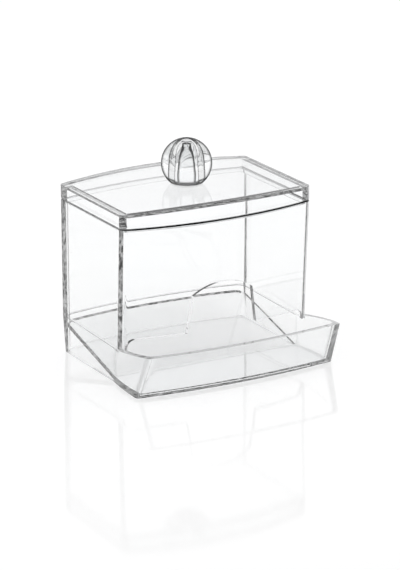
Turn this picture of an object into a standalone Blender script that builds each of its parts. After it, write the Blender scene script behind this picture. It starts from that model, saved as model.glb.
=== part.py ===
"""Clear cotton swab holder with a ramped bin, a dispensing tray and a lift-off lid.

Five clear plastic mouldings, in metres with +Z up. X runs along the width of the
box, -Y is the front, where the tray is, and the object stands on Z = 0. The middle
of its footprint is the origin.
"""

import math

import bmesh
import bpy
from mathutils import Vector

# Gaps between pieces that are glued or that rest on each other.
GLUE_GAP = 0.0003
REST_GAP = 0.0003
LIP_CLEARANCE = 0.0003
SIDE_CLEARANCE = 0.0003
PEG_CLEARANCE = 0.0003

# The whole footprint, from the crown of the tray's rim to the crown of the rear wall.
OVERALL_DEPTH = 0.0930

# The box. Its front and rear walls are bowed outwards in plan, its sides are straight.
BOX_WIDTH = 0.0970
BOX_DEPTH = 0.0587
FRONT_BOW = 0.0069
REAR_BOW = 0.0052
SIDE_DRAFT = 0.0002
FRONT_LEAN = 0.0028
BIN_RIM_WALL = 0.0024
OUTER_CORNER = 0.0030
INNER_CORNER = 0.0006

# Heights of the joint between the base and the bin, and of the lid's seat.
JOINT_FRONT_Z = 0.0156
JOINT_REAR_Z = 0.0169
LID_SEAT_Z = 0.0725

# The opening in the bin's front wall: a slot from side to side above the tray, and an
# arched doorway in its middle for the fingers.
SLOT_HALF_WIDTH = 0.0452
SLOT_TOP_Z = 0.0210
SLOT_CORNER = 0.0040
DOOR_FOOT_HALF_WIDTH = 0.0181
DOOR_HEAD_HALF_WIDTH = 0.0151
DOOR_HEAD_Z = 0.0383
DOOR_ARCH = 0.0049

# The tray in front of the box. Its sides start beside the bin, swell outwards and end
# a little wider than the box. Its rim climbs from just above the joint to the front.
TRAY_LAP = 0.0070
TRAY_RIM_Z = 0.0210
TRAY_LEAN = 0.0092
TRAY_RIM_FLARE = 0.00045
TRAY_FOOT_FLARE = 0.0010
TRAY_FRONT_BOW = 0.0036
TRAY_RIM_SIDE_BOW = 0.0022
TRAY_FOOT_SIDE_BOW = 0.0011
RIM_EDGE = 0.0002
RIM_START = 0.0006

# The base's walls, its floor and its ramp.
BASE_WALL = 0.0026
FLOOR = 0.0025
RAMP_WALL = 0.0023
RAMP_REAR_Z = 0.0145
BASE_REAR_CORNER = 0.0040
BASE_INNER_REAR_CORNER = 0.0040

# The lid.
LID_SKIRT = 0.0065
LID_ARCH = 0.0015
LID_PLATE = 0.0023
LIP_DEPTH = 0.0017
LIP_THICKNESS = 0.0016

# The knob: a ball with a flat foot, and the peg in its bore.
KNOB_RADIUS = 0.0115
KNOB_FOOT_DROP = 0.0087
BORE_RADIUS = 0.0054
BORE_DEPTH = 0.0160
PEG_RADIUS = 0.0039
PEG_HEIGHT = 0.0146
COLLAR_HEIGHT = 0.0025
PEG_EDGE = 0.0006

# Fineness of the curves, and how far a cutter runs past what it cuts.
BOW_STEPS = 20
SIDE_STEPS = 6
CORNER_STEPS = 6
ARCH_STEPS = 12
TURN_STEPS = 48
MARGIN = 0.0030

# Places that follow from the sizes.
REAR_Y = OVERALL_DEPTH / 2 - REAR_BOW
BIN_FRONT_Y = REAR_Y - BOX_DEPTH
JOINT_FRONT_Y = BIN_FRONT_Y + FRONT_LEAN
CREASE_Y = JOINT_FRONT_Y + TRAY_LAP
TRAY_RIM_Y = TRAY_FRONT_BOW - OVERALL_DEPTH / 2
HALF_WIDTH = BOX_WIDTH / 2
JOINT_HALF_WIDTH = HALF_WIDTH - SIDE_DRAFT
KNOB_Y = (BIN_FRONT_Y - FRONT_BOW + REAR_Y + REAR_BOW) / 2
LID_CROWN_Z = LID_SEAT_Z + LID_SKIRT + LID_ARCH
COLLAR_RADIUS = BORE_RADIUS - PEG_CLEARANCE
RAMP_REAR_Y = REAR_Y - BASE_WALL
RAMP_SLOPE = (RAMP_REAR_Z - RAMP_WALL) / (RAMP_REAR_Y - CREASE_Y)
RAMP_FOOT_Y = CREASE_Y + (FLOOR - RAMP_WALL) / RAMP_SLOPE
RIM_START_Y = CREASE_Y + RIM_START


def joint_z(y):
    """Height of the joint line, which climbs a little towards the rear."""
    share = (y - JOINT_FRONT_Y) / (REAR_Y - JOINT_FRONT_Y)
    return JOINT_FRONT_Z + share * (JOINT_REAR_Z - JOINT_FRONT_Z)


def ramp_z(y):
    """Height of the ramp's underside, which leaves the table at the tray's crease."""
    return RAMP_SLOPE * (y - CREASE_Y)


def on_arc(start, end, bow, share):
    """Point part of the way along an arc that is bowed to the right of its chord."""
    if abs(bow) < 1e-7:
        return start.lerp(end, share)
    half = (end - start).length / 2
    radius = (half * half + bow * bow) / (2 * bow)
    along = (end - start).normalized()
    out = Vector((along.y, -along.x))
    centre = (start + end) / 2 - out * (radius - bow)
    angle = math.asin(half / radius) * (2 * share - 1)
    return centre + radius * (math.cos(angle) * out + math.sin(angle) * along)


def outline(corners, bows, steps, radii):
    """Closed plan outline, anticlockwise, with bowed sides and rounded corners.

    Side i runs from corner i to the next one. Corners with no radius stay sharp.
    """
    count = len(corners)
    trims = []
    for i in range(count):
        here, after, before = corners[i], corners[(i + 1) % count], corners[i - 1]
        ahead = on_arc(here, after, bows[i], 0.02) - here
        behind = on_arc(before, here, bows[i - 1], 0.98) - here
        trims.append(radii[i] / math.tan(ahead.angle(behind) / 2))
    points = []
    for i in range(count):
        here, after, before = corners[i], corners[(i + 1) % count], corners[i - 1]
        length = (after - here).length
        first = trims[i] / length
        last = 1 - trims[(i + 1) % count] / length
        if radii[i] > 0:
            enter = on_arc(before, here, bows[i - 1], 1 - trims[i] / (here - before).length)
            leave = on_arc(here, after, bows[i], first)
            weight = math.sin((enter - here).angle(leave - here) / 2)
            for k in range(CORNER_STEPS):
                s = k / CORNER_STEPS
                a, b, c = (1 - s) ** 2, 2 * s * (1 - s) * weight, s * s
                points.append((a * enter + b * here + c * leave) / (a + b + c))
        for k in range(steps[i]):
            share = first + (last - first) * k / steps[i]
            points.append(on_arc(here, after, bows[i], share))
    return points


def box_outline(half_width, front_y, rear_y, front_radius, rear_radius):
    """Outline of the box: straight sides, front and rear bowed outwards."""
    corners = [Vector((-half_width, front_y)), Vector((half_width, front_y)),
               Vector((half_width, rear_y)), Vector((-half_width, rear_y))]
    return outline(corners, [FRONT_BOW, 0, REAR_BOW, 0], [BOW_STEPS, SIDE_STEPS] * 2,
                   [front_radius, front_radius, rear_radius, rear_radius])


def lid_outline(inset):
    """Outline of the lid and of the bin's top, drawn in by an inset."""
    radius = INNER_CORNER if inset > 0 else OUTER_CORNER
    return box_outline(HALF_WIDTH - inset, BIN_FRONT_Y + inset, REAR_Y - inset, radius, radius)


def joint_outline(inset):
    """Outline of the bin's foot at the joint, drawn in by an inset."""
    radius = INNER_CORNER if inset > 0 else OUTER_CORNER
    return box_outline(JOINT_HALF_WIDTH - inset, JOINT_FRONT_Y + inset, REAR_Y - inset,
                       radius, radius)


def base_outline(z, inset):
    """Outline of the base at a height: the box's foot, and the tray that flares from it."""
    share = z / TRAY_RIM_Z
    lean = math.atan2(TRAY_LEAN, TRAY_RIM_Z)
    half_rear = JOINT_HALF_WIDTH - inset
    half_front = half_rear + TRAY_FOOT_FLARE + share * (TRAY_RIM_FLARE - TRAY_FOOT_FLARE)
    front_y = TRAY_RIM_Y + TRAY_LEAN * (1 - share) + inset / math.cos(lean)
    rear_y = REAR_Y - inset
    side_bow = TRAY_FOOT_SIDE_BOW + share * (TRAY_RIM_SIDE_BOW - TRAY_FOOT_SIDE_BOW)
    corners = [Vector((-half_front, front_y)), Vector((half_front, front_y)),
               Vector((half_rear, CREASE_Y)), Vector((half_rear, rear_y)),
               Vector((-half_rear, rear_y)), Vector((-half_rear, CREASE_Y))]
    foot_corner = BASE_REAR_CORNER + share * (OUTER_CORNER - BASE_REAR_CORNER)
    front = INNER_CORNER if inset > 0 else OUTER_CORNER
    rear = BASE_INNER_REAR_CORNER if inset > 0 else foot_corner
    return outline(corners, [TRAY_FRONT_BOW, side_bow, 0, REAR_BOW, 0, side_bow],
                   [BOW_STEPS, SIDE_STEPS, SIDE_STEPS, BOW_STEPS, SIDE_STEPS, SIDE_STEPS],
                   [front, front, 0, rear, rear, 0])


def level(points, z):
    """Ring of an outline at one height."""
    return [(p.x, p.y, z) for p in points]


def on_joint(points, lift):
    """Ring of an outline on the sloping joint, raised by a lift."""
    return [(p.x, p.y, joint_z(p.y) + lift) for p in points]


def add_mesh(name, bm, collection, material=None):
    """Object made from a bmesh, in a collection."""
    bmesh.ops.recalc_face_normals(bm, faces=bm.faces)
    mesh = bpy.data.meshes.new(name)
    bm.to_mesh(mesh)
    bm.free()
    obj = bpy.data.objects.new(name, mesh)
    collection.objects.link(obj)
    if material:
        mesh.materials.append(material)
    else:
        obj.hide_render = True
        obj.display_type = "WIRE"
    return obj


def loft(name, rings, collection, material=None, tube=False):
    """Solid through rings of equal counts: capped at its ends, or closed round as a tube."""
    bm = bmesh.new()
    rows = [[bm.verts.new(point) for point in ring] for ring in rings]
    count = len(rows[0])
    pairs = list(zip(rows, rows[1:] + rows[:1])) if tube else list(zip(rows, rows[1:]))
    for low, high in pairs:
        for i in range(count):
            j = (i + 1) % count
            bm.faces.new((low[i], low[j], high[j], high[i]))
    # The walls twist a little between unlike outlines, so their quads are split.
    bmesh.ops.triangulate(bm, faces=bm.faces)
    if not tube:
        bm.faces.new(rows[0])
        bm.faces.new(rows[-1])
    return add_mesh(name, bm, collection, material)


def slab(name, profile, along, start, end, collection):
    """Cutter: a flat profile carried along X or along Y, from a start to an end."""
    bm = bmesh.new()
    if along == "X":
        verts = [bm.verts.new((start, a, b)) for a, b in profile]
        move = Vector((end - start, 0, 0))
    else:
        verts = [bm.verts.new((a, start, b)) for a, b in profile]
        move = Vector((0, end - start, 0))
    face = bm.faces.new(verts)
    grown = bmesh.ops.extrude_face_region(bm, geom=[face])
    moved = [item for item in grown["geom"] if isinstance(item, bmesh.types.BMVert)]
    bmesh.ops.translate(bm, verts=moved, vec=move)
    return add_mesh(name, bm, collection)


def cut(obj, cutter):
    """Boolean difference that takes the cutter out of the object."""
    modifier = obj.modifiers.new("cut_" + cutter.name, "BOOLEAN")
    modifier.operation = "DIFFERENCE"
    modifier.solver = "EXACT"
    modifier.object = cutter


def turned(name, profile, collection, material):
    """Turned solid from a profile that runs down its outer side."""
    mesh = bpy.data.meshes.new(name)
    verts = [(radius, 0, z) for radius, z in profile]
    mesh.from_pydata(verts, [(i, i + 1) for i in range(len(verts) - 1)], [])
    mesh.materials.append(material)
    obj = bpy.data.objects.new(name, mesh)
    collection.objects.link(obj)
    screw = obj.modifiers.new("turn", "SCREW")
    screw.axis = "Z"
    screw.steps = TURN_STEPS
    screw.render_steps = TURN_STEPS
    screw.use_merge_vertices = True
    screw.merge_threshold = 0.00001
    screw.use_smooth_shade = True
    return obj


def clear_plastic(name, tint):
    """Clear moulded plastic."""
    material = bpy.data.materials.new(name)
    material.use_nodes = True
    shader = material.node_tree.nodes["Principled BSDF"]
    shader.inputs["Base Color"].default_value = tint + (1,)
    shader.inputs["Roughness"].default_value = 0.03
    shader.inputs["Metallic"].default_value = 0.0
    shader.inputs["IOR"].default_value = 1.5
    shader.inputs["Transmission Weight"].default_value = 1.0
    material.diffuse_color = tint + (0.4,)
    return material


def lid_arch(drop):
    """Arched top line of the lid, from left to right, lowered by a drop."""
    reach = HALF_WIDTH + MARGIN
    points = []
    for k in range(BOW_STEPS + 1):
        x = reach * (2 * k / BOW_STEPS - 1)
        rise = LID_ARCH * (1 - (x / HALF_WIDTH) ** 2)
        points.append((x, LID_SEAT_Z + LID_SKIRT + rise - drop))
    return points


def make_base(parts, cutters):
    """Tray, floor, ramp and skirt in one moulding."""
    base = loft("base_tray", [level(base_outline(0, 0), 0),
                              level(base_outline(TRAY_RIM_Z, 0), TRAY_RIM_Z)],
                parts, clear_plastic("base_plastic", (0.93, 0.95, 0.96)))
    reach = OVERALL_DEPTH
    rim_start_z = joint_z(RIM_START_Y) + RIM_EDGE
    climb = (TRAY_RIM_Z - rim_start_z) / (RIM_START_Y - TRAY_RIM_Y)
    over_rim = slab("over_rim", [(-reach, rim_start_z + climb * (RIM_START_Y + reach)),
                                 (RIM_START_Y, rim_start_z),
                                 (reach, joint_z(reach) + RIM_EDGE), (reach, reach),
                                 (-reach, reach)], "X", -reach, reach, cutters)
    cut(base, over_rim)
    cut(base, loft("bin_seat", [on_joint(joint_outline(-SIDE_CLEARANCE), 0),
                                level(lid_outline(-SIDE_CLEARANCE), LID_SEAT_Z)], cutters))
    top = TRAY_RIM_Z + MARGIN
    inside = loft("inside", [level(base_outline(0, BASE_WALL), 0),
                             level(base_outline(top, BASE_WALL), top)], cutters)
    ramp = slab("ramp_block", [(-reach, -reach), (reach, -reach),
                               (reach, ramp_z(reach) + RAMP_WALL),
                               (RAMP_FOOT_Y, FLOOR), (-reach, FLOOR)],
                "X", -reach, reach, cutters)
    cut(inside, ramp)
    cut(base, inside)
    plan = base_outline(0, BASE_WALL)
    hollow = loft("hollow", [level(plan, -MARGIN), level(plan, top)], cutters)
    above = slab("over_hollow", [(-reach, ramp_z(-reach)), (reach, ramp_z(reach)),
                                 (reach, reach), (-reach, reach)],
                 "X", -reach, reach, cutters)
    cut(hollow, above)
    cut(base, hollow)
    return base


def front_opening():
    """Outline of the slot and the arched doorway, seen from the front, anticlockwise."""
    right = [(SLOT_HALF_WIDTH, JOINT_FRONT_Z - MARGIN)]
    for k in range(CORNER_STEPS + 1):
        angle = math.pi / 2 * k / CORNER_STEPS
        right.append((SLOT_HALF_WIDTH - SLOT_CORNER * (1 - math.cos(angle)),
                      SLOT_TOP_Z - SLOT_CORNER * (1 - math.sin(angle))))
    right.append((DOOR_FOOT_HALF_WIDTH, SLOT_TOP_Z))
    head = Vector((DOOR_HEAD_HALF_WIDTH, DOOR_HEAD_Z))
    arch = [on_arc(Vector((-head.x, head.y)), head, -DOOR_ARCH, k / ARCH_STEPS)
            for k in range(ARCH_STEPS, -1, -1)]
    left = [(-x, z) for x, z in reversed(right)]
    return right + [(p.x, p.y) for p in arch] + left


def make_bin(parts, cutters):
    """Four-walled bin with a drafted body, open at its top, its foot and low in front."""
    top = LID_SEAT_Z - REST_GAP
    rings = [on_joint(joint_outline(0), GLUE_GAP), level(lid_outline(0), top),
             level(lid_outline(BIN_RIM_WALL), top), on_joint(joint_outline(BASE_WALL), GLUE_GAP)]
    walls = loft("bin_sleeve", rings, parts, clear_plastic("bin_plastic", (0.94, 0.96, 0.97)),
                 tube=True)
    cut(walls, slab("front_opening", front_opening(), "Y", -OVERALL_DEPTH, 0, cutters))
    return walls


def make_lid(parts, cutters):
    """Arched lid with a skirt on the bin's rim and a lip inside it."""
    lip = lid_outline(BIN_RIM_WALL + LIP_CLEARANCE)
    rim = lid_outline(0)
    top = LID_CROWN_Z + MARGIN
    lid = loft("lid", [level(lip, LID_SEAT_Z - LIP_DEPTH), level(lip, LID_SEAT_Z),
                       level(rim, LID_SEAT_Z), level(rim, top)],
               parts, clear_plastic("lid_plastic", (0.95, 0.96, 0.98)))
    reach = HALF_WIDTH + MARGIN
    roof = top + MARGIN
    cut(lid, slab("over_lid", lid_arch(0) + [(reach, roof), (-reach, roof)],
                  "Y", -OVERALL_DEPTH, OVERALL_DEPTH, cutters))
    inner = lid_outline(BIN_RIM_WALL + LIP_CLEARANCE + LIP_THICKNESS)
    recess = loft("lid_recess", [level(inner, LID_SEAT_Z - LIP_DEPTH - MARGIN),
                                 level(inner, top)], cutters)
    cut(recess, slab("over_recess", lid_arch(LID_PLATE) + [(reach, roof), (-reach, roof)],
                     "Y", -OVERALL_DEPTH, OVERALL_DEPTH, cutters))
    cut(lid, recess)
    return lid


def make_knob(parts):
    """Clear ball with a flat foot and a blind bore, and the collared peg inside it."""
    foot = KNOB_FOOT_DROP
    low = math.asin(foot / KNOB_RADIUS)
    profile = []
    for k in range(TURN_STEPS // 2 + 1):
        angle = math.pi / 2 - (math.pi / 2 + low) * k / (TURN_STEPS // 2)
        profile.append((KNOB_RADIUS * math.cos(angle), KNOB_RADIUS * math.sin(angle)))
    profile[0] = (0, KNOB_RADIUS)
    profile += [(BORE_RADIUS, -foot), (BORE_RADIUS, BORE_DEPTH - foot), (0, BORE_DEPTH - foot)]
    ball = turned("knob_ball", profile, parts, clear_plastic("ball_plastic", (0.97, 0.97, 0.98)))
    ball.location = (0, KNOB_Y, LID_CROWN_Z + GLUE_GAP + foot)

    profile = [(0, PEG_HEIGHT), (PEG_RADIUS - PEG_EDGE, PEG_HEIGHT),
               (PEG_RADIUS, PEG_HEIGHT - PEG_EDGE), (PEG_RADIUS, COLLAR_HEIGHT),
               (COLLAR_RADIUS, COLLAR_HEIGHT), (COLLAR_RADIUS, 0), (0, 0)]
    peg = turned("knob_peg", profile, parts, clear_plastic("peg_plastic", (0.96, 0.96, 0.97)))
    peg.location = (0, KNOB_Y, LID_CROWN_Z + GLUE_GAP)
    return ball, peg


def main():
    for obj in list(bpy.data.objects):
        bpy.data.objects.remove(obj)
    parts = bpy.data.collections.new("cotton_swab_holder")
    cutters = bpy.data.collections.new("cutters")
    for collection in (parts, cutters):
        bpy.context.scene.collection.children.link(collection)

    make_base(parts, cutters)
    make_bin(parts, cutters)
    lid = make_lid(parts, cutters)
    ball, peg = make_knob(parts)

    # The lid, the ball and the peg lift off together, along an axis through the knob.
    lift = bpy.data.objects.new("lid_lift", None)
    lift.location = (0, KNOB_Y, LID_SEAT_Z)
    parts.objects.link(lift)
    bpy.context.view_layer.update()
    for piece in (lid, ball, peg):
        piece.parent = lift
        piece.matrix_parent_inverse = lift.matrix_world.inverted()


main()
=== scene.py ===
import math

import bmesh
import bpy
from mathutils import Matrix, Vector


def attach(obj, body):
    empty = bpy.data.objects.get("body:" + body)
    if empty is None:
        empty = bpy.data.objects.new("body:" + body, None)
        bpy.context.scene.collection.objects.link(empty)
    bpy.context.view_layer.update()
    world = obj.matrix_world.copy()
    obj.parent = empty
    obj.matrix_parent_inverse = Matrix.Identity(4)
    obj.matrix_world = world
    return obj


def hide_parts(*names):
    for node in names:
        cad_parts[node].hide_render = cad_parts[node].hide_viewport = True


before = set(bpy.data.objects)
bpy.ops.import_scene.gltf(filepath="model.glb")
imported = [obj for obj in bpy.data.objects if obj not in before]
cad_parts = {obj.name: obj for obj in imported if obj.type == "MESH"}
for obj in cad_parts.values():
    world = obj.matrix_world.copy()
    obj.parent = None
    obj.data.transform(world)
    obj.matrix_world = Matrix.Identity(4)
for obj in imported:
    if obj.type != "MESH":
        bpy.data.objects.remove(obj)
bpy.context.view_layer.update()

# Sizes are in metres. Width runs along x, depth along y with the front at its low end, and
# height along z.

# The camera: where it stands, the way it looks, its lens and sensor in millimetres, and the
# nearest and farthest that it sees.
CAMERA_PLACE = Vector((-0.62797, -1.10455, 0.44557))
CAMERA_AIM = Vector((0.47064, 0.82701, -0.30750))
CAMERA_LENS = 186.88
CAMERA_SENSOR = 36
CAMERA_NEAREST = 0.05
CAMERA_FARTHEST = 40

# The box that the bin, the lid and the base share. Its sides draw in a little towards the
# foot, its front and rear walls bow out in the middle, and the front one leans in at its foot.
HALF_WIDTH = 0.0485
SIDE_DRAFT = 0.0002
FRONT_Y = -0.0174
REAR_Y = 0.0413
MIDDLE_Y = (FRONT_Y + REAR_Y) / 2
FRONT_BOW = 0.0069
REAR_BOW = 0.0052
FRONT_LEAN = 0.0028
WALL = 0.0025
GAP = 0.0003

# Radii of the upright corners. The box is round in front and nearly sharp at the rear. The
# base's rear corners are as sharp at the joint and round at the table.
FRONT_CORNER_OUTSIDE = 0.0030
FRONT_CORNER_INSIDE = 0.0006
REAR_CORNER_OUTSIDE = 0.0010
REAR_CORNER_INSIDE = 0.0040
TRAY_CORNER_OUTSIDE = 0.0010
TRAY_CORNER_INSIDE = 0.0025
FOOT_CORNER = 0.0040

# Heights of the joint between the base and the bin, and of the lid's seat.
JOINT_FRONT_Z = 0.0156
JOINT_REAR_Z = 0.0169
LID_SEAT_Z = 0.0725

# The opening low in the bin's front wall: a slot, and an arched doorway in its middle.
SLOT_HALF_WIDTH = 0.0452
SLOT_TOP_Z = 0.0210
SLOT_CORNER = 0.0040
DOOR_FOOT_HALF_WIDTH = 0.0181
DOOR_HEAD_HALF_WIDTH = 0.0151
DOOR_HEAD_Z = 0.0383
DOOR_ARCH = 0.0049

# The cutters of the opening: from where to where they reach in depth, and how far each goes
# down past the place where it starts to cut.
CUTTER_FRONT_Y = -0.05
CUTTER_REAR_Y = 0
BIN_CUTTER_PAST = 0.001
SLOT_CUTTER_PAST = 0.003
DOOR_CUTTER_PAST = 0.002

# The base: the tray in front of the box, its floor, and the ramp that starts behind the
# crease where the tray's rim meets the joint.
BASE_HALF = HALF_WIDTH - SIDE_DRAFT
CREASE_Y = -0.0076
CREASE_Z = 0.0159
TRAY_RIM_Y = -0.0429
TRAY_RIM_Z = 0.0210
TRAY_LEAN = 0.0092
TRAY_RIM_FLARE = 0.00045
TRAY_FOOT_FLARE = 0.0010
TRAY_FRONT_BOW = 0.0036
TRAY_RIM_SIDE_BOW = 0.0022
TRAY_FOOT_SIDE_BOW = 0.0011
FLOOR = 0.0025
RAMP_FOOT_Y = -0.0068
RAMP_REAR_Z = 0.0145
RAMP_WALL = 0.0023
HOLLOW_FRONT_WALL = 0.0006

# The lid.
LID_SKIRT = 0.0065
LID_ARCH = 0.0015
LID_PLATE = 0.0023
LIP_DEPTH = 0.0017
LIP_THICKNESS = 0.0016
LIP_CORNER = 0.0006

# The knob and its peg.
KNOB_RADIUS = 0.0115
KNOB_FOOT_DROP = 0.0087
KNOB_Y = 0.0111
KNOB_FOOT_Z = 0.0808
BORE_RADIUS = 0.0054
PEG_RADIUS = 0.0039
COLLAR_RADIUS = 0.0051
COLLAR_HEIGHT = 0.0025
# Radius and height of each step of the bore's dome and of the peg's neck.
BORE_DOME = ((0.0054, 0.0100), (0.0052, 0.0121), (0.0047, 0.0141), (0.0039, 0.0158),
             (0.0028, 0.0171), (0.0012, 0.0179))
PEG_NECK = ((0.0041, 0.0050), (0.0039, 0.0080), (0.0035, 0.0105), (0.0030, 0.0123),
            (0.0025, 0.0136), (0.0022, 0.0147), (0.0021, 0.0157), (0.0019, 0.0166),
            (0.0010, 0.0171))

# How wide the sharp edges are rounded, the slant in degrees from which they are, and the
# slant up to which faces are shaded as one.
SEAM_EDGE = 0.0004
WALL_EDGE = 0.00025
BASE_EDGE = 0.0002
BALL_EDGE = 0.00015
PEG_EDGE = 0.0002
EDGE_SLANT = 28
SMOOTH_SLANT = 40

# Fineness of the curves.
COLUMNS = 48
COLUMNS_REACH = 0.0435
SIDE_COLUMNS = 14
DOOR_COLUMNS = 24
CORNER_STEPS = 12
REAR_INSIDE_STEPS = 10
SMALL_CORNER_STEPS = 8
LIP_CORNER_STEPS = 4
SEAM_STEPS = 3
EDGE_STEPS = 2
KNOB_STEPS = 96
BALL_RINGS = 64

# Places between which corners are told apart: the head from the foot of the box's walls,
# the top from the underside of the base, and the tray's front and the rear wall from the
# rest. Two places closer than NEAR are the same, and points closer than WELD are merged.
BOX_HALFWAY = 0.03
BASE_HALFWAY = 0.01
TRAY_FRONT_REACH = -0.0285
REAR_REACH = 0.03
NEAR = 0.00002
WELD = 0.000004

# A face lies level where its normal's height is beyond LEVEL, and stands upright where it is
# within UPRIGHT. An upright edge of the base has at least this height and at most this lean.
LEVEL = 0.95
UPRIGHT = 0.3
EDGE_HEIGHT = 0.0012
EDGE_LEAN = 0.002

# The first small step down to the tray's floor and up into the hollow under the ramp, how
# far below its rear end the base's joint is looked for, how long the edges along the tray's
# sides are, and how far in from the outside they lie and the sides swell.
SINK_START = 0.0001
HOLLOW_START = 0.0002
JOINT_REACH = 0.0004
SIDE_LENGTH = 0.015
SIDE_REACH = 0.0079
SWELL_REACH = 0.0036
CREASE_REACH = 0.001

# The clear plastic: how it bends light, its tint, the tint of what light goes through in its
# shadow, and the tint and density of its body.
PLASTIC_IOR = 1.5
PLASTIC_TINT = (0.985, 0.99, 0.992)
SHADOW_TINT = (0.993, 0.994, 0.995, 1)
BODY_TINT = (0.55, 0.58, 0.6, 1)
BODY_DENSITY = 3

# Its patterns, each with its scale and the part of its noise that it spreads out: paler
# clouds, scuffs that are several times as rough as the haze, and flow waves.
CLOUD_SCALE = 22
CLOUD_REACH = (0.3, 0.7)
CLOUD_PALER = 1.012
WALL_HAZE = 0.004
KNOB_HAZE = 0.003
SCUFF_SCALE = 160
SCUFF_REACH = (0.45, 0.75)
SCUFF_DETAIL = 4
SCUFF_BREAKS = 0.6
SCUFF_TIMES = 3
WAVE_SCALE = 26
WAVE_DETAIL = 1
WAVE_STRENGTH = 0.25
WAVE_DEPTH = 0.0006

# Painted glow: light that was thrown back more often than LOST_AFTER ends in a grey that the
# plastic gives off, between two levels, in fine clouds.
LOST_AFTER = 3.5
LOST_GLOW_GREYS = (0.04, 0.5)
LOST_SCALE = 420
LOST_REACH = (0.36, 0.64)

# The slants between which the ball and the peg darken towards their outlines with painted
# shade, from 0, face on, to 1, edge on, and how dark they get.
BALL_RIM = (0.55, 0.8)
PEG_RIM = (0.3, 0.58)
RIM_SHARE = 0.93
RIM_PAINTED_SHADE = (0.01, 0.01, 0.011, 1)

# Faces inside the plastic: the greys of the seam's painted shade and of the glue, their clouds
# and bump, how much of the seam's sides stays plain at the rear, how far below the seat the
# bin's rim is looked for, and the radius of the disc of painted shade under the peg.
SEAM_SHADE_GREYS = (0.002, 0.10)
GLUE_GREYS = (0.75, 0.85)
FACE_ROUGHNESS = (0.15, 0.4)
FACE_CLOUD_SCALE = 60
FACE_CLOUD_REACH = (0.4, 0.65)
FACE_BUMP_STRENGTH = 0.1
FACE_BUMP_DEPTH = 0.0003
SEAM_REAR_PLAIN = 0.004
RIM_REACH = 0.001
PEG_DISC = 0.001

# The white room: how much of it a ray still sees after each reflection, and the least. Its
# whiteness goes from the horizon, at 0, to overhead, at 1.
ROOM_DIM = 0.9
ROOM_LEAST = 0.08
ROOM_STOPS = ((0.0, 1.0), (0.36, 1.0), (0.45, 0.10), (0.62, 0.06), (0.72, 0.9),
              (0.86, 0.9), (0.92, 0.3))
ROOM_BLUE = 1.01
ROOM_LIGHT = (0.5, 0.5, 0.5, 1)
BLACK = (0, 0, 0, 1)
WHITE = (1, 1, 1, 1)

# The glossy table top.
TABLE_SIZE = 12
TABLE_DROP = 0.0002
TABLE_COLOUR = (0.8, 0.8, 0.8, 1)
TABLE_ROUGHNESS = 0.075
TABLE_GLOSS = 1.0
TABLE_GLOW = 0.235

# The lamps: name, place and power in watts. Both are squares and point at the box.
LAMPS = (("lamp_left", (-1.1, -0.3, 1.1), 11), ("lamp_right", (1.1, 0.3, 1.2), 9))
LAMP_SIZE = 0.9
LAMP_AIM = (0, 0, 0.04)


# ---- handwork in edit mode
def alone(obj):
    """Selects one piece alone, in object mode."""
    bpy.ops.object.select_all(action="DESELECT")
    bpy.context.view_layer.objects.active = obj
    obj.select_set(True)


def edit(obj):
    """Selects one piece alone and opens it in edit mode."""
    alone(obj)
    bpy.ops.object.mode_set(mode="EDIT")


def leave():
    """Goes back to object mode."""
    bpy.ops.object.mode_set(mode="OBJECT")


def pick(kind, test):
    """Selects the vertices, edges or faces that pass a test."""
    mesh = bpy.context.edit_object.data
    bpy.ops.mesh.select_mode(type=kind)
    bpy.ops.mesh.select_all(action="DESELECT")
    bm = bmesh.from_edit_mesh(mesh)
    for item in {"VERT": bm.verts, "EDGE": bm.edges, "FACE": bm.faces}[kind]:
        if test(item):
            item.select_set(True)
    bm.select_flush_mode()
    bmesh.update_edit_mesh(mesh)


def corners(test):
    """Selects the vertices whose place passes a test."""
    pick("VERT", lambda v: test(v.co.x, v.co.y, v.co.z))


def edges(test):
    """Selects the edges that pass a test of their two ends."""
    pick("EDGE", lambda e: test(e.verts[0].co, e.verts[1].co))


def picked():
    """The numbers of the vertices that are selected."""
    bm = bmesh.from_edit_mesh(bpy.context.edit_object.data)
    return {v.index for v in bm.verts if v.select}


def shift(x=0, y=0, z=0):
    """Moves what is selected."""
    bpy.ops.transform.translate(value=(x, y, z))


def inset(width):
    """Draws the selected face in by a width."""
    bpy.ops.mesh.inset(thickness=width, use_even_offset=True)


def extrude(height):
    """Extrudes the selected face up, or down where the height is below zero."""
    bpy.ops.mesh.extrude_region_move(TRANSFORM_OT_translate={"value": (0, 0, height)})


def round_off(radius, steps):
    """Rounds the selected edges."""
    bpy.ops.mesh.bevel(offset=radius, segments=steps, affect="EDGES", offset_type="OFFSET")


def split(place, across, **options):
    """Cuts the whole piece along a plane through a place."""
    bpy.ops.mesh.select_all(action="SELECT")
    bpy.ops.mesh.bisect(plane_co=place, plane_no=across, **options)


def slices():
    """Cuts lines round the whole piece, evenly spaced along its width."""
    for i in range(COLUMNS + 1):
        split((COLUMNS_REACH * (2 * i / COLUMNS - 1), 0, 0), (1, 0, 0))


def columns(test, step):
    """Moves each vertex whose place passes a test by what a rule gives for that place."""
    bm = bmesh.from_edit_mesh(bpy.context.edit_object.data)
    moves = {}
    for v in bm.verts:
        if test(v.co):
            move = tuple(round(part, 7) for part in step(v.co))
            if any(move):
                moves.setdefault(move, set()).add(v.index)
    for move, members in moves.items():
        pick("VERT", lambda v: v.index in members)
        shift(*move)


def bow_at(x, half, bow):
    """How far an arc stands out of its chord at a place along it."""
    radius = (half * half + bow * bow) / (2 * bow)
    x = min(abs(x), half)
    return math.sqrt(radius * radius - x * x) - (radius - bow)


def bowed_walls():
    """Bows the front and the rear walls of the box outwards in plan."""
    def step(co):
        if co.y < MIDDLE_Y:
            return (0, -bow_at(co.x, HALF_WIDTH, FRONT_BOW), 0)
        return (0, bow_at(co.x, HALF_WIDTH, REAR_BOW), 0)

    columns(lambda co: True, step)


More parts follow.
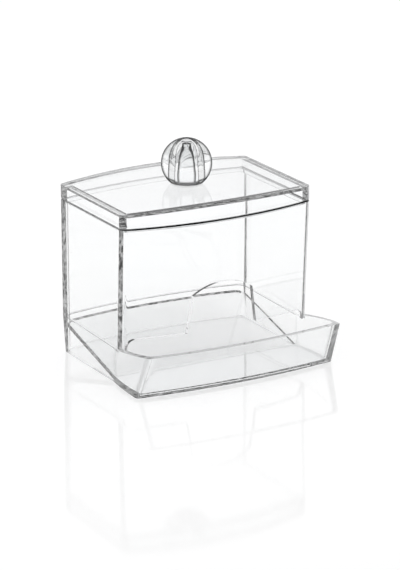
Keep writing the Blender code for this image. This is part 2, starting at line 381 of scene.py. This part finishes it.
def settle(name):
    """Names a new primitive and puts its place and size into its mesh."""
    obj = bpy.context.object
    obj.name = name
    bpy.ops.object.transform_apply(location=True, rotation=True, scale=True)
    return obj


def block(name, low, high):
    """A straight block between two corners, open in edit mode."""
    bpy.ops.object.select_all(action="DESELECT")
    bpy.ops.mesh.primitive_cube_add(size=1)
    bpy.context.object.scale = [b - a for a, b in zip(low, high)]
    bpy.context.object.location = [(a + b) / 2 for a, b in zip(low, high)]
    obj = settle(name)
    edit(obj)
    return obj


def modify(obj, kind, **settings):
    """Adds a modifier and applies it."""
    alone(obj)
    modifier = obj.modifiers.new(kind.lower(), kind)
    for key, value in settings.items():
        setattr(modifier, key, value)
    bpy.ops.object.modifier_apply(modifier=modifier.name)


def carve(obj, cutter):
    """Takes a cutter out of a piece and deletes the cutter."""
    modify(obj, "BOOLEAN", operation="DIFFERENCE", solver="EXACT", object=cutter)
    bpy.data.objects.remove(cutter)


def polish(obj, edge):
    """Rounds the sharp edges a little and gives the faces true shading."""
    modify(obj, "BEVEL", width=edge, segments=EDGE_STEPS, limit_method="ANGLE",
           angle_limit=math.radians(EDGE_SLANT), use_clamp_overlap=True,
           miter_outer="MITER_ARC")
    edit(obj)
    bpy.ops.mesh.select_all(action="SELECT")
    bpy.ops.mesh.remove_doubles(threshold=WELD)
    bpy.ops.mesh.normals_make_consistent(inside=False)
    leave()
    bpy.ops.object.shade_smooth_by_angle(angle=math.radians(SMOOTH_SLANT),
                                         keep_sharp_edges=True)
    modify(obj, "WEIGHTED_NORMAL", keep_sharp=True, weight=50, mode="FACE_AREA")


# ---- the bin
def box_block(name, draw_in, past, front_corner, rear_corner):
    """The box's outline as a solid block, open in edit mode.

    draw_in moves its walls in, past lengthens it at both ends, and the corners are the
    radii of its upright edges.
    """
    obj = block(name,
                (-HALF_WIDTH + draw_in, FRONT_Y + draw_in, JOINT_FRONT_Z + GAP - past),
                (HALF_WIDTH - draw_in, REAR_Y - draw_in, LID_SEAT_Z - GAP + past))
    corners(lambda x, y, z: z < BOX_HALFWAY and y < 0)
    shift(y=FRONT_LEAN)
    corners(lambda x, y, z: z < BOX_HALFWAY and y > 0)
    shift(z=JOINT_REAR_Z - JOINT_FRONT_Z)
    for side in (-1, 1):
        corners(lambda x, y, z: z < BOX_HALFWAY and x * side > 0)
        shift(x=-side * SIDE_DRAFT)
    for corner, side in ((front_corner, -1), (rear_corner, 1)):
        edges(lambda a, b: (a.z - BOX_HALFWAY) * (b.z - BOX_HALFWAY) < 0
              and (a.y - MIDDLE_Y) * side > 0)
        round_off(corner, CORNER_STEPS)
    return obj


def slot_cutter():
    """The slot low in the front wall, with rounded upper corners."""
    obj = block("slot", (-SLOT_HALF_WIDTH, CUTTER_FRONT_Y, JOINT_FRONT_Z - SLOT_CUTTER_PAST),
                (SLOT_HALF_WIDTH, CUTTER_REAR_Y, SLOT_TOP_Z))
    edges(lambda a, b: abs(a.y - b.y) > NEAR and a.z > SLOT_TOP_Z - NEAR)
    round_off(SLOT_CORNER, SMALL_CORNER_STEPS)
    leave()
    return obj


def door_cutter():
    """The doorway in the middle of the front wall, narrower at its arched head."""
    obj = block("door", (-DOOR_FOOT_HALF_WIDTH, CUTTER_FRONT_Y, SLOT_TOP_Z - DOOR_CUTTER_PAST),
                (DOOR_FOOT_HALF_WIDTH, CUTTER_REAR_Y, DOOR_HEAD_Z))
    corners(lambda x, y, z: z > BOX_HALFWAY)
    bpy.ops.transform.resize(value=(DOOR_HEAD_HALF_WIDTH / DOOR_FOOT_HALF_WIDTH, 1, 1),
                             center_override=(0, 0, 0))
    edges(lambda a, b: abs(a.x - b.x) > DOOR_HEAD_HALF_WIDTH)
    bpy.ops.mesh.subdivide(number_cuts=DOOR_COLUMNS - 1)
    columns(lambda co: co.z > BOX_HALFWAY,
            lambda co: (0, 0, bow_at(co.x, DOOR_HEAD_HALF_WIDTH, DOOR_ARCH)))
    leave()
    return obj


def ease_seam(up):
    """Rounds the outer edge where the lid and the bin meet.

    up is 1 for the bin's rim and -1 for the lid's seat.
    """
    height = LID_SEAT_Z if up < 0 else LID_SEAT_Z - GAP

    def at_seam(edge):
        if any(abs(v.co.z - height) > NEAR for v in edge.verts) or len(edge.link_faces) != 2:
            return False
        wall = [face for face in edge.link_faces if abs(face.normal.z) < UPRIGHT]
        if len(wall) != 1:
            return False
        centre, normal = wall[0].calc_center_median(), wall[0].normal
        return normal.x * centre.x + normal.y * (centre.y - MIDDLE_Y) > 0

    pick("EDGE", at_seam)
    round_off(SEAM_EDGE, SEAM_STEPS)


def make_bin():
    """Four walls in one moulding, with a slot and a doorway low in front."""
    obj = box_block("bin_walls", 0, 0, FRONT_CORNER_OUTSIDE, REAR_CORNER_OUTSIDE)
    leave()
    inside = box_block("bin_inside", WALL, BIN_CUTTER_PAST, FRONT_CORNER_INSIDE,
                       REAR_CORNER_INSIDE)
    leave()
    carve(obj, inside)
    edit(obj)
    slices()
    bowed_walls()
    ease_seam(1)
    leave()
    carve(obj, slot_cutter())
    carve(obj, door_cutter())
    polish(obj, WALL_EDGE)
    return obj


# ---- the lid
def make_lid():
    """Arched lid with a skirt, and a lip that drops inside the bin."""
    obj = block("lid_cover", (-HALF_WIDTH, FRONT_Y, LID_SEAT_Z),
                (HALF_WIDTH, REAR_Y, LID_SEAT_Z + LID_SKIRT))
    pick("FACE", lambda f: f.normal.z < -LEVEL)
    inset(WALL + GAP)
    extrude(-LIP_DEPTH)
    inset(LIP_THICKNESS)
    extrude(LIP_DEPTH + LID_SKIRT - LID_PLATE)

    def upright(a, b):
        return abs(a.z - b.z) > LIP_DEPTH / 2 and abs(a.x - b.x) < NEAR

    edges(lambda a, b: upright(a, b) and abs(a.x) < HALF_WIDTH - WALL)
    round_off(LIP_CORNER, LIP_CORNER_STEPS)
    for corner, side in ((FRONT_CORNER_OUTSIDE, -1), (REAR_CORNER_OUTSIDE, 1)):
        edges(lambda a, b: upright(a, b) and abs(a.x) > HALF_WIDTH - NEAR
              and (a.y - MIDDLE_Y) * side > 0)
        round_off(corner, CORNER_STEPS)
    slices()
    bowed_walls()
    ceiling = LID_SEAT_Z + LID_SKIRT - LID_PLATE - NEAR
    columns(lambda co: co.z > ceiling,
            lambda co: (0, 0, LID_ARCH * (1 - (co.x / HALF_WIDTH) ** 2)))
    ease_seam(-1)
    leave()
    polish(obj, WALL_EDGE)
    return obj


# ---- the base
def base_block():
    """The base's outside, with a crease across it and a leaning front, open in edit mode."""
    obj = block("tray_and_ramp", (-BASE_HALF, TRAY_RIM_Y, 0), (BASE_HALF, REAR_Y, CREASE_Z))
    split((0, CREASE_Y, 0), (0, 1, 0))
    corners(lambda x, y, z: y > REAR_REACH and z > BASE_HALFWAY)
    shift(z=JOINT_REAR_Z - CREASE_Z)
    corners(lambda x, y, z: y < TRAY_FRONT_REACH and z > BASE_HALFWAY)
    shift(z=TRAY_RIM_Z - CREASE_Z)
    corners(lambda x, y, z: y < TRAY_FRONT_REACH and z < BASE_HALFWAY)
    shift(y=TRAY_LEAN)
    for side in (-1, 1):
        corners(lambda x, y, z: y < TRAY_FRONT_REACH and z > BASE_HALFWAY and x * side > 0)
        shift(x=side * TRAY_RIM_FLARE)
        corners(lambda x, y, z: y < TRAY_FRONT_REACH and z < BASE_HALFWAY and x * side > 0)
        shift(x=side * TRAY_FOOT_FLARE)
    return obj


def inner_places():
    """The right inner corners of the floor and of the rim, front, middle and rear."""
    share = FLOOR / TRAY_RIM_Z
    wall = WALL * math.hypot(TRAY_LEAN, TRAY_RIM_Z) / TRAY_RIM_Z
    front_half = BASE_HALF + TRAY_FOOT_FLARE + share * (TRAY_RIM_FLARE - TRAY_FOOT_FLARE)
    side = BASE_HALF - WALL
    floor = [(front_half - WALL, TRAY_RIM_Y + TRAY_LEAN * (1 - share) + wall, FLOOR),
             (side, RAMP_FOOT_Y, FLOOR), (side, REAR_Y - WALL, RAMP_REAR_Z)]
    rim = [(BASE_HALF + TRAY_RIM_FLARE - WALL, TRAY_RIM_Y + wall, TRAY_RIM_Z),
           (side, CREASE_Y, CREASE_Z), (side, REAR_Y - WALL, JOINT_REAR_Z)]
    return floor, rim


def sink_floor(floor, rim):
    """Leaves the walls' top edge and sinks the rest to the floor and the ramp."""
    pick("FACE", lambda f: f.normal.z > LEVEL)
    inset(WALL)
    extrude(-SINK_START)
    sunk = picked()
    rows = (lambda y: y < TRAY_FRONT_REACH, lambda y: TRAY_FRONT_REACH < y < MIDDLE_Y,
            lambda y: y > MIDDLE_Y)
    for row, floor_place, rim_place in zip(rows, floor, rim):
        for side in (-1, 1):
            for is_floor, place in ((True, floor_place), (False, rim_place)):
                found = []

                def matches(v):
                    if ((v.index in sunk) == is_floor and v.co.z > BASE_HALFWAY
                            and 0 < v.co.x * side < BASE_HALF - WALL / 2 and row(v.co.y)):
                        found.append(v.co.copy())
                        return True
                    return False

                pick("VERT", matches)
                if len(found) != 1:
                    raise RuntimeError("an inner corner was found %d times" % len(found))
                now = found[0]
                shift(side * place[0] - now.x, place[1] - now.y, place[2] - now.z)


def open_ramp():
    """Makes the hollow under the ramp, open below."""
    pick("FACE", lambda f: f.normal.z < -LEVEL and f.calc_center_median().y > CREASE_Y)
    inset(WALL)
    ring = picked()
    pick("VERT", lambda v: v.index in ring and v.co.y < MIDDLE_Y)
    shift(y=HOLLOW_FRONT_WALL - WALL)
    pick("FACE", lambda f: all(v.index in ring for v in f.verts))
    extrude(HOLLOW_START)
    ring = picked()
    pick("VERT", lambda v: v.index in ring and v.co.y > MIDDLE_Y)
    shift(z=RAMP_REAR_Z - RAMP_WALL - HOLLOW_START)


def round_base(obj, floor, rim):
    """Rounds the upright corners of the right half, and mirrors it for the left one."""
    def standing(a, b):
        return (abs(a.z - b.z) > EDGE_HEIGHT and abs(a.x - b.x) < EDGE_LEAN
                and a.x * b.x > 0)

    def outside(a, b):
        return standing(a, b) and min(abs(a.x), abs(b.x)) > BASE_HALF - WALL / 2

    def at_corner(a, row):
        return any(abs(abs(a.x) - x) < NEAR and abs(a.y - y) < NEAR
                   for x, y, z in (floor[row], rim[row]))

    def inside(a, b, row):
        return standing(a, b) and at_corner(a, row) and at_corner(b, row)

    split((0, 0, 0), (1, 0, 0), clear_inner=True)
    edges(lambda a, b: outside(a, b) and a.y < TRAY_FRONT_REACH)
    round_off(TRAY_CORNER_OUTSIDE, CORNER_STEPS)
    edges(lambda a, b: outside(a, b) and min(a.y, b.y) > REAR_REACH)
    round_off(FOOT_CORNER, CORNER_STEPS)
    edges(lambda a, b: inside(a, b, 0))
    round_off(TRAY_CORNER_INSIDE, SMALL_CORNER_STEPS)
    edges(lambda a, b: inside(a, b, 2))
    round_off(REAR_CORNER_INSIDE, REAR_INSIDE_STEPS)
    leave()
    modify(obj, "MIRROR", use_mirror_merge=True, merge_threshold=NEAR)
    edit(obj)


def sharpen_joint():
    """Draws the outer rear corners out, so that they are nearly sharp at the joint."""
    pull = 1 - REAR_CORNER_OUTSIDE / FOOT_CORNER

    def at_corner(co):
        x, y = abs(co.x), co.y
        return (co.z > JOINT_REAR_Z - JOINT_REACH and x > BASE_HALF - FOOT_CORNER - NEAR
                and y > REAR_Y - FOOT_CORNER - NEAR
                and (x > BASE_HALF - WALL / 2 or y > REAR_Y - WALL / 2))

    columns(at_corner, lambda co: ((math.copysign(BASE_HALF, co.x) - co.x) * pull,
                                   (REAR_Y - co.y) * pull, 0))


def swell_tray():
    """Swells the tray's sides, and bows its front and the rear wall."""
    edges(lambda a, b: abs(a.y - b.y) > SIDE_LENGTH and max(a.y, b.y) < RAMP_FOOT_Y + NEAR
          and min(abs(a.x), abs(b.x)) > BASE_HALF - SIDE_REACH)
    bpy.ops.mesh.subdivide(number_cuts=SIDE_COLUMNS - 1)

    def swell(co):
        part = (CREASE_Y - co.y) / (CREASE_Y - TRAY_RIM_Y)
        if not 0 < part < 1 or abs(co.x) < BASE_HALF - SWELL_REACH:
            return (0, 0, 0)
        height = min(1, max(0, co.z / TRAY_RIM_Z))
        bow = TRAY_FOOT_SIDE_BOW + height * (TRAY_RIM_SIDE_BOW - TRAY_FOOT_SIDE_BOW)
        return (math.copysign(bow * 4 * part * (1 - part), co.x), 0, 0)

    columns(lambda co: co.y < CREASE_Y, swell)
    columns(lambda co: co.y < TRAY_FRONT_REACH,
            lambda co: (0, -bow_at(co.x, BASE_HALF, TRAY_FRONT_BOW), 0))
    columns(lambda co: co.y > REAR_REACH,
            lambda co: (0, bow_at(co.x, BASE_HALF, REAR_BOW), 0))


def seat_cutter():
    """The bin's foot with its clearance, where it stands on the tray's walls."""
    obj = box_block("seat", -GAP, GAP - NEAR, FRONT_CORNER_OUTSIDE, REAR_CORNER_OUTSIDE)
    slices()
    bowed_walls()
    leave()
    return obj


def make_base():
    """Tray, floor, ramp and skirt in one moulding."""
    obj = base_block()
    floor, rim = inner_places()
    sink_floor(floor, rim)
    open_ramp()
    round_base(obj, floor, rim)
    sharpen_joint()
    slices()
    swell_tray()
    leave()
    carve(obj, seat_cutter())
    edit(obj)
    edges(lambda a, b: abs(a.y - b.y) < NEAR and abs(a.y - CREASE_Y) < CREASE_REACH)
    bpy.ops.mesh.mark_sharp()
    leave()
    polish(obj, BASE_EDGE)
    return obj


# ---- the knob
def raise_rings(start, rings):
    """Draws the selected face up ring by ring, each with its own radius.

    start is the radius and height that the face has, and rings those that it gets.
    """
    radius, height = start
    for new_radius, new_height in rings:
        extrude(new_height - height)
        bpy.ops.transform.resize(value=(new_radius / radius, new_radius / radius, 1),
                                 center_override=(0, KNOB_Y, 0))
        radius, height = new_radius, new_height


def make_ball():
    """Clear ball with a flat foot and a blind, domed bore."""
    bpy.ops.object.select_all(action="DESELECT")
    bpy.ops.mesh.primitive_uv_sphere_add(segments=KNOB_STEPS, ring_count=BALL_RINGS,
                                         radius=KNOB_RADIUS,
                                         location=(0, KNOB_Y, KNOB_FOOT_Z + KNOB_FOOT_DROP))
    obj = settle("knob_clear_ball")
    edit(obj)
    split((0, KNOB_Y, KNOB_FOOT_Z), (0, 0, 1), use_fill=True, clear_inner=True)
    pick("FACE", lambda f: f.normal.z < -LEVEL)
    inset(math.sqrt(KNOB_RADIUS ** 2 - KNOB_FOOT_DROP ** 2) - BORE_RADIUS)
    raise_rings((BORE_RADIUS, 0), BORE_DOME)
    leave()
    polish(obj, BALL_EDGE)
    return obj


def make_peg():
    """Clear peg with a collar and a neck, in the ball's bore."""
    bpy.ops.object.select_all(action="DESELECT")
    bpy.ops.mesh.primitive_cylinder_add(vertices=KNOB_STEPS, radius=COLLAR_RADIUS,
                                        depth=COLLAR_HEIGHT,
                                        location=(0, KNOB_Y, KNOB_FOOT_Z + COLLAR_HEIGHT / 2))
    obj = settle("knob_clear_peg")
    edit(obj)
    pick("FACE", lambda f: f.normal.z > LEVEL)
    inset(COLLAR_RADIUS - PEG_RADIUS)
    raise_rings((PEG_RADIUS, COLLAR_HEIGHT), PEG_NECK)
    pick("FACE", lambda f: f.normal.z < -LEVEL)
    inset(COLLAR_RADIUS - PEG_RADIUS)
    leave()
    polish(obj, PEG_EDGE)
    return obj


# ---- nodes
def feed(tree, socket, value):
    """Gives a socket a number or colour, or links it to another node's output."""
    if isinstance(value, bpy.types.NodeSocket):
        tree.links.new(value, socket)
    else:
        socket.default_value = value


def reckon(tree, operation, *values):
    """Reckons with two or three values."""
    node = tree.nodes.new("ShaderNodeMath")
    node.operation = operation
    for socket, value in zip(node.inputs, values):
        feed(tree, socket, value)
    return node.outputs[0]


def spread(tree, value, reach, result):
    """Stretches the reach of a value to another pair of limits."""
    node = tree.nodes.new("ShaderNodeMapRange")
    for key, given in zip(("Value", "From Min", "From Max", "To Min", "To Max"),
                          (value, *reach, *result)):
        feed(tree, node.inputs[key], given)
    return node.outputs["Result"]


def blend(tree, factor, first, second):
    """Mixes two colours."""
    node = tree.nodes.new("ShaderNodeMix")
    node.data_type = "RGBA"
    for key, given in (("Factor", factor), ("A", first), ("B", second)):
        feed(tree, node.inputs[key], given)
    return node.outputs["Result"]


def layer(tree, factor, first, second):
    """Mixes two shaders."""
    node = tree.nodes.new("ShaderNodeMixShader")
    for socket, given in zip(node.inputs, (factor, first, second)):
        feed(tree, socket, given)
    return node.outputs["Shader"]


def noise(tree, place, scale, detail=2, rough=0.5):
    """Soft irregular clouds."""
    node = tree.nodes.new("ShaderNodeTexNoise")
    for key, given in (("Vector", place), ("Scale", scale), ("Detail", detail),
                       ("Roughness", rough)):
        feed(tree, node.inputs[key], given)
    return node.outputs["Fac"]


def bump(tree, height, strength, depth):
    """The slant that a height gives to a surface."""
    node = tree.nodes.new("ShaderNodeBump")
    for key, given in (("Height", height), ("Strength", strength), ("Distance", depth)):
        feed(tree, node.inputs[key], given)
    return node.outputs["Normal"]


# ---- finishes
def new_finish(name):
    """A new material, with its tree, its main shader and its place on the piece."""
    material = bpy.data.materials.new(name)
    material.use_nodes = True
    tree = material.node_tree
    place = tree.nodes.new("ShaderNodeTexCoord").outputs["Object"]
    return material, tree, tree.nodes["Principled BSDF"], place


def clear_plastic(name, seed, haze, rim=None, mirrored=True):
    """Clear moulded plastic: flow waves, faint haze, a few fine scuffs and a painted glow.

    seed sets the patterns off from those of the other pieces. rim gives the two slants
    between which a round piece darkens towards its outline with painted shade. mirrored
    tells whether other glossy faces mirror the piece.
    """
    material, tree, shader, place = new_finish(name)
    shader.inputs["IOR"].default_value = PLASTIC_IOR
    shader.inputs["Transmission Weight"].default_value = 1.0
    moved = tree.nodes.new("ShaderNodeMapping")
    moved.inputs["Location"].default_value = (seed, 2 * seed, 3 * seed)
    tree.links.new(place, moved.inputs["Vector"])
    place = moved.outputs["Vector"]

    clouds = spread(tree, noise(tree, place, CLOUD_SCALE), CLOUD_REACH, (0, 1))
    pale = [min(1, part * CLOUD_PALER) for part in PLASTIC_TINT]
    feed(tree, shader.inputs["Base Color"],
         blend(tree, clouds, (*PLASTIC_TINT, 1), (*pale, 1)))
    scuffs = noise(tree, place, SCUFF_SCALE, SCUFF_DETAIL, SCUFF_BREAKS)
    feed(tree, shader.inputs["Roughness"],
         spread(tree, scuffs, SCUFF_REACH, (haze, haze * SCUFF_TIMES)))
    waves = noise(tree, place, WAVE_SCALE, WAVE_DETAIL)
    feed(tree, shader.inputs["Normal"], bump(tree, waves, WAVE_STRENGTH, WAVE_DEPTH))

    # Light that is thrown about inside for long ends in a painted glow, a grey that the
    # plastic gives off.
    path = tree.nodes.new("ShaderNodeLightPath").outputs
    painted_glow = tree.nodes.new("ShaderNodeEmission")
    feed(tree, painted_glow.inputs["Color"],
         spread(tree, noise(tree, place, LOST_SCALE), LOST_REACH, LOST_GLOW_GREYS))
    surface = layer(tree, reckon(tree, "GREATER_THAN", path["Glossy Depth"], LOST_AFTER),
                    shader.outputs["BSDF"], painted_glow.outputs["Emission"])
    # Painted shade: a near-black diffuse laid over a round piece towards its outline.
    if rim:
        slant = tree.nodes.new("ShaderNodeLayerWeight").outputs["Facing"]
        dark = tree.nodes.new("ShaderNodeBsdfDiffuse")
        dark.inputs["Color"].default_value = RIM_PAINTED_SHADE
        surface = layer(tree, spread(tree, slant, rim, (0, RIM_SHARE)), surface,
                        dark.outputs["BSDF"])

    # Lamps reach what is behind the plastic. So do rays off gloss where the piece isn't
    # mirrored, unless they have gone through plastic before: half tells none from once.
    passed = path["Is Shadow Ray"]
    if not mirrored:
        fresh = reckon(tree, "LESS_THAN", path["Transmission Depth"], 0.5)
        passed = reckon(tree, "MAXIMUM", passed,
                        reckon(tree, "MULTIPLY", fresh, path["Is Glossy Ray"]))
    open_side = tree.nodes.new("ShaderNodeBsdfTransparent")
    open_side.inputs["Color"].default_value = SHADOW_TINT
    output = tree.nodes["Material Output"]
    feed(tree, output.inputs["Surface"],
         layer(tree, passed, surface, open_side.outputs["BSDF"]))
    if mirrored:
        body = tree.nodes.new("ShaderNodeVolumeAbsorption")
        body.inputs["Color"].default_value = BODY_TINT
        body.inputs["Density"].default_value = BODY_DENSITY
        feed(tree, output.inputs["Volume"], body.outputs["Volume"])
    return material


def glue_and_painted_shade_face(name, greys):
    """Cloudy finish for a face inside the plastic, between two greys: glue, and painted shade.
    """
    material, tree, shader, place = new_finish(name)
    shader.inputs["IOR"].default_value = PLASTIC_IOR
    clouds = noise(tree, place, FACE_CLOUD_SCALE)
    for key, limits in (("Base Color", greys), ("Roughness", FACE_ROUGHNESS)):
        feed(tree, shader.inputs[key], spread(tree, clouds, FACE_CLOUD_REACH, limits))
    feed(tree, shader.inputs["Normal"],
         bump(tree, clouds, FACE_BUMP_STRENGTH, FACE_BUMP_DEPTH))
    return material


def finish_faces(obj, material, test):
    """Gives the faces that pass a test of their normal and centre another finish."""
    obj.data.materials.append(material)
    for face in obj.data.polygons:
        if test(face.normal, face.center):
            face.material_index = 1


def dress(obj, body, node, material):
    """Gives a piece its finish and says which moulding it stands for."""
    obj.data.materials.clear()
    obj.data.materials.append(material)
    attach(obj, body)
    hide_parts(node)


# ---- the camera and the stage
def turn_to(obj, aim):
    """Turns a camera or a lamp the way it looks or shines."""
    obj.rotation_mode = "QUATERNION"
    obj.rotation_quaternion = aim.to_track_quat("-Z", "Y")


def make_camera():
    """The camera, with a long lens."""
    data = bpy.data.cameras.new("camera")
    data.lens = CAMERA_LENS
    data.sensor_width = CAMERA_SENSOR
    data.clip_start, data.clip_end = CAMERA_NEAREST, CAMERA_FARTHEST
    camera = bpy.data.objects.new("camera", data)
    camera.location = CAMERA_PLACE
    turn_to(camera, CAMERA_AIM)
    bpy.context.scene.collection.objects.link(camera)
    bpy.context.scene.camera = camera


def room_seen(tree):
    """The ray's path, whether it sees the white room, and how much of it.

    The camera sees the room, and so do gloss and clear plastic, dimmer with each time that
    the ray was thrown back, as it is dark beyond the white. The light that falls on things
    doesn't.
    """
    path = tree.nodes.new("ShaderNodeLightPath").outputs
    sees = reckon(tree, "MAXIMUM", path["Is Camera Ray"], path["Is Glossy Ray"])
    sees = reckon(tree, "MAXIMUM", sees, path["Is Transmission Ray"])
    turns = reckon(tree, "MULTIPLY", path["Glossy Depth"], path["Glossy Depth"])
    left = reckon(tree, "MULTIPLY_ADD", reckon(tree, "POWER", ROOM_DIM, turns),
                  1 - ROOM_LEAST, ROOM_LEAST)
    return path, sees, left


def make_world():
    """White round the horizon, with a dark band and a bright one higher up."""
    world = bpy.data.worlds.new("studio")
    bpy.context.scene.world = world
    world.use_nodes = True
    tree = world.node_tree
    tree.nodes.clear()
    path, sees, left = room_seen(tree)
    place = tree.nodes.new("ShaderNodeTexCoord")
    height = tree.nodes.new("ShaderNodeSeparateXYZ")
    feed(tree, height.inputs["Vector"], place.outputs["Generated"])
    ramp = tree.nodes.new("ShaderNodeValToRGB")
    ramp.color_ramp.interpolation = "EASE"
    stops = ramp.color_ramp.elements
    while len(stops) < len(ROOM_STOPS):
        stops.new(0.5)
    for stop, (position, white) in zip(stops, ROOM_STOPS):
        stop.position = position
        stop.color = (white, white, white * ROOM_BLUE, 1)
    feed(tree, ramp.inputs["Fac"], height.outputs["Z"])
    room = blend(tree, left, BLACK, ramp.outputs["Color"])
    room = blend(tree, path["Is Camera Ray"], room, WHITE)
    background = tree.nodes.new("ShaderNodeBackground")
    feed(tree, background.inputs["Color"], blend(tree, sees, ROOM_LIGHT, room))
    output = tree.nodes.new("ShaderNodeOutputWorld")
    feed(tree, output.inputs["Surface"], background.outputs["Background"])


def make_floor():
    """Glossy white table top."""
    bpy.ops.object.select_all(action="DESELECT")
    bpy.ops.mesh.primitive_plane_add(size=TABLE_SIZE, location=(0, 0, -TABLE_DROP))
    floor = settle("table_top")
    material = bpy.data.materials.new("white_gloss_top")
    material.use_nodes = True
    tree = material.node_tree
    shader = tree.nodes["Principled BSDF"]
    shader.inputs["Roughness"].default_value = TABLE_ROUGHNESS
    shader.inputs["Specular IOR Level"].default_value = TABLE_GLOSS
    shader.inputs["Emission Color"].default_value = WHITE
    _, sees, left = room_seen(tree)
    feed(tree, shader.inputs["Emission Strength"],
         reckon(tree, "MULTIPLY", reckon(tree, "MULTIPLY", sees, left), TABLE_GLOW))
    feed(tree, shader.inputs["Base Color"], blend(tree, left, BLACK, TABLE_COLOUR))
    floor.data.materials.append(material)


def make_lamps():
    """Two large soft lamps, left and right, that gloss and clear plastic don't show."""
    for name, place, power in LAMPS:
        data = bpy.data.lights.new(name, "AREA")
        data.shape = "SQUARE"
        data.size = LAMP_SIZE
        data.energy = power
        lamp = bpy.data.objects.new(name, data)
        lamp.location = place
        turn_to(lamp, Vector(LAMP_AIM) - Vector(place))
        lamp.visible_glossy = False
        lamp.visible_transmission = False
        bpy.context.scene.collection.objects.link(lamp)


# ---- the scene
make_camera()
make_world()
make_floor()
make_lamps()
dress(make_base(), "holder", "base_tray",
      clear_plastic("clear_base", 0.1, WALL_HAZE))
walls = make_bin()
dress(walls, "holder", "bin_sleeve",
      clear_plastic("clear_bin", 0.4, WALL_HAZE))
cover = make_lid()
dress(cover, "lid", "lid",
      clear_plastic("clear_lid", 0.7, WALL_HAZE))
ball = make_ball()
dress(ball, "lid", "knob_ball",
      clear_plastic("clear_ball", 1.1, KNOB_HAZE, BALL_RIM, False))
peg = make_peg()
dress(peg, "lid", "knob_peg",
      clear_plastic("clear_peg", 1.5, KNOB_HAZE, PEG_RIM, False))

# The seam between the lid and the bin throws all light aside: painted shade, a near-black
# grey, makes it a dark line, and a disc under the peg too. The ball's foot is light with glue.
seam_painted_shade = glue_and_painted_shade_face("seam_painted_shade", SEAM_SHADE_GREYS)


def seam_shows(normal, centre):
    """The eased edges in front and at the sides, and the flat seat in front alone."""
    reach = REAR_Y - SEAM_REAR_PLAIN if abs(normal.z) < LEVEL else FRONT_Y + WALL
    return centre.y < reach


def at_knob_foot(normal, centre):
    """The level faces where the knob stands on the lid."""
    return normal.z < -LEVEL and centre.z < KNOB_FOOT_Z + NEAR


finish_faces(cover, seam_painted_shade, lambda n, c: n.z < -UPRIGHT
             and abs(c.z - LID_SEAT_Z) < SEAM_EDGE and seam_shows(n, c))
finish_faces(walls, seam_painted_shade, lambda n, c: n.z > UPRIGHT
             and c.z > LID_SEAT_Z - RIM_REACH and seam_shows(n, c))
finish_faces(peg, seam_painted_shade, lambda n, c: at_knob_foot(n, c)
             and math.hypot(c.x, c.y - KNOB_Y) < PEG_DISC)
finish_faces(ball, glue_and_painted_shade_face("white_glue", GLUE_GREYS), at_knob_foot)

scene = bpy.context.scene
scene.view_settings.view_transform = "Standard"
scene.cycles.max_bounces = 32
scene.cycles.transmission_bounces = 32
scene.cycles.glossy_bounces = 12
scene.cycles.transparent_max_bounces = 24
